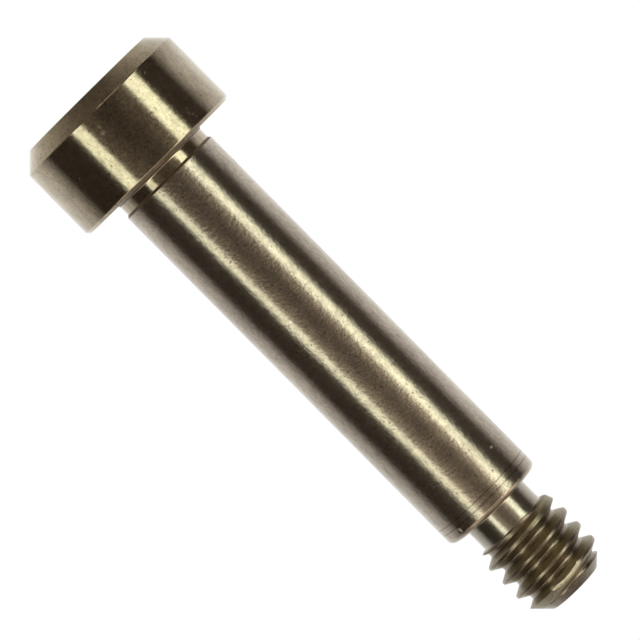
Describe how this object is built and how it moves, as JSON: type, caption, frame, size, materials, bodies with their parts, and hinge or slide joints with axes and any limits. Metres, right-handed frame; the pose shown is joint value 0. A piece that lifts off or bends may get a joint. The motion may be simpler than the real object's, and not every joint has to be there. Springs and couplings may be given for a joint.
{
  "type": "shoulder bolt",
  "caption": "Shoulder bolt turned from one bar: a cylindrical socket head, a long ground shoulder, an undercut neck and a short coarse thread.",
  "frame": {"origin": "centre of the head's top face, which the bolt stands on", "axes": "+Z along the bolt's axis, from the head through the shoulder to the threaded end; +X and +Y across it, with two of the socket's corners on X"},
  "size_m": [0.0126, 0.0126, 0.0449],
  "materials": {
    "steel": "turned and ground, bare, with a warm tone"
  },
  "bodies": {
    "root": {"shoulder_bolt": "steel"}
  },
  "joints": []
}
